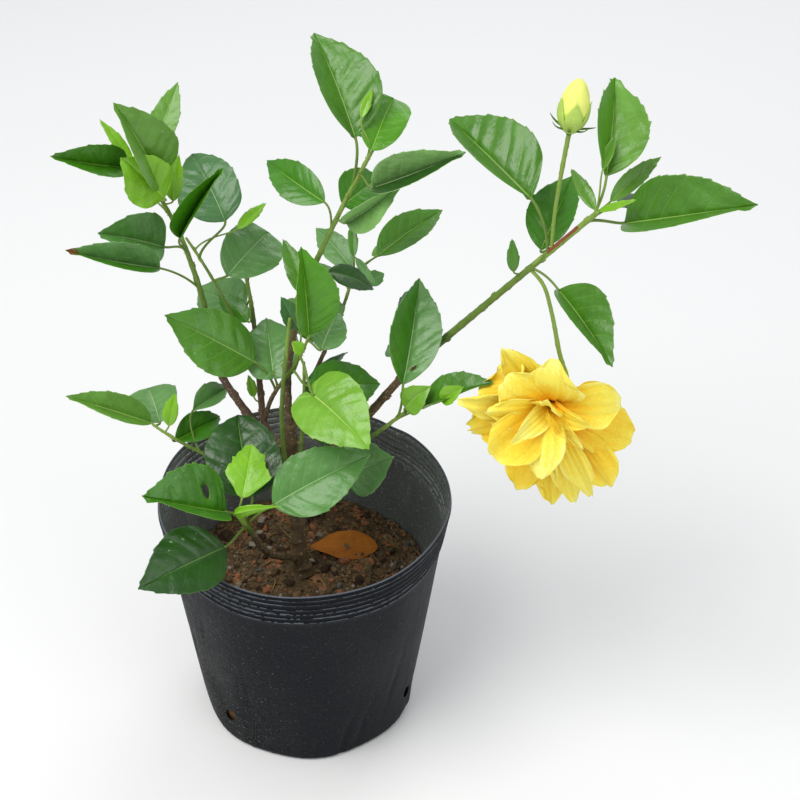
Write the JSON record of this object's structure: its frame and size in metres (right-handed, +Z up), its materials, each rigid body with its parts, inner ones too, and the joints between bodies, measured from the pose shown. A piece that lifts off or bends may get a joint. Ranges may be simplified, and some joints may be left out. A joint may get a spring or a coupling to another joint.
{
  "type": "potted hibiscus shrub",
  "caption": "Young double-flowered hibiscus shrub: a leaning trunk with slender boughs, open sprays of toothed leaves, a yellow bloom and a bud, in a soft black pot.",
  "frame": {"origin": "centre of the pot's flat underside", "axes": "+Z up, +X towards the side that the long flowering bough reaches out to, +Y towards the side with the back bough"},
  "size_m": [0.4409, 0.2342, 0.5359],
  "materials": {
    "pot": "dusty thin moulded polyethylene",
    "soil": "moist crumbly potting soil",
    "bark": "grey-brown bark with leaf scars",
    "shoot": "smooth green young wood",
    "leaf": "satin leaf",
    "petal": "soft crumpled petal",
    "bud": "satin flower bud"
  },
  "bodies": {
    "root": {"pot": "pot", "soil": "soil", "trunk": "bark", "centre_bough": "bark", "left_bough": "bark", "back_left_bough": "bark", "left_inner_shoot": "shoot", "front_shoot": "shoot", "right_bough": "bark", "right_branch": "shoot", "upright_shoot": "shoot", "inner_right_shoot": "shoot", "right_low_shoot": "shoot", "back_bough": "shoot", "left_low_shoot": "bark", "front_low_shoot": "bark", "flower_stalk": "shoot", "bud_stalk": "shoot", "bud": "bud", "bloom": "petal", "left_top_foliage": "leaf", "left_middle_foliage": "leaf", "left_inner_foliage": "leaf", "back_left_foliage": "leaf", "left_low_foliage": "leaf", "front_middle_foliage": "leaf", "centre_middle_foliage": "leaf", "centre_upper_foliage": "leaf", "centre_top_foliage": "leaf", "back_foliage": "leaf", "right_low_foliage": "leaf", "right_inner_foliage": "leaf", "bloom_side_foliage": "leaf", "right_upper_foliage": "leaf", "right_tip_foliage": "leaf", "left_tip_foliage": "leaf", "front_low_foliage": "leaf"}
  },
  "joints": []
}
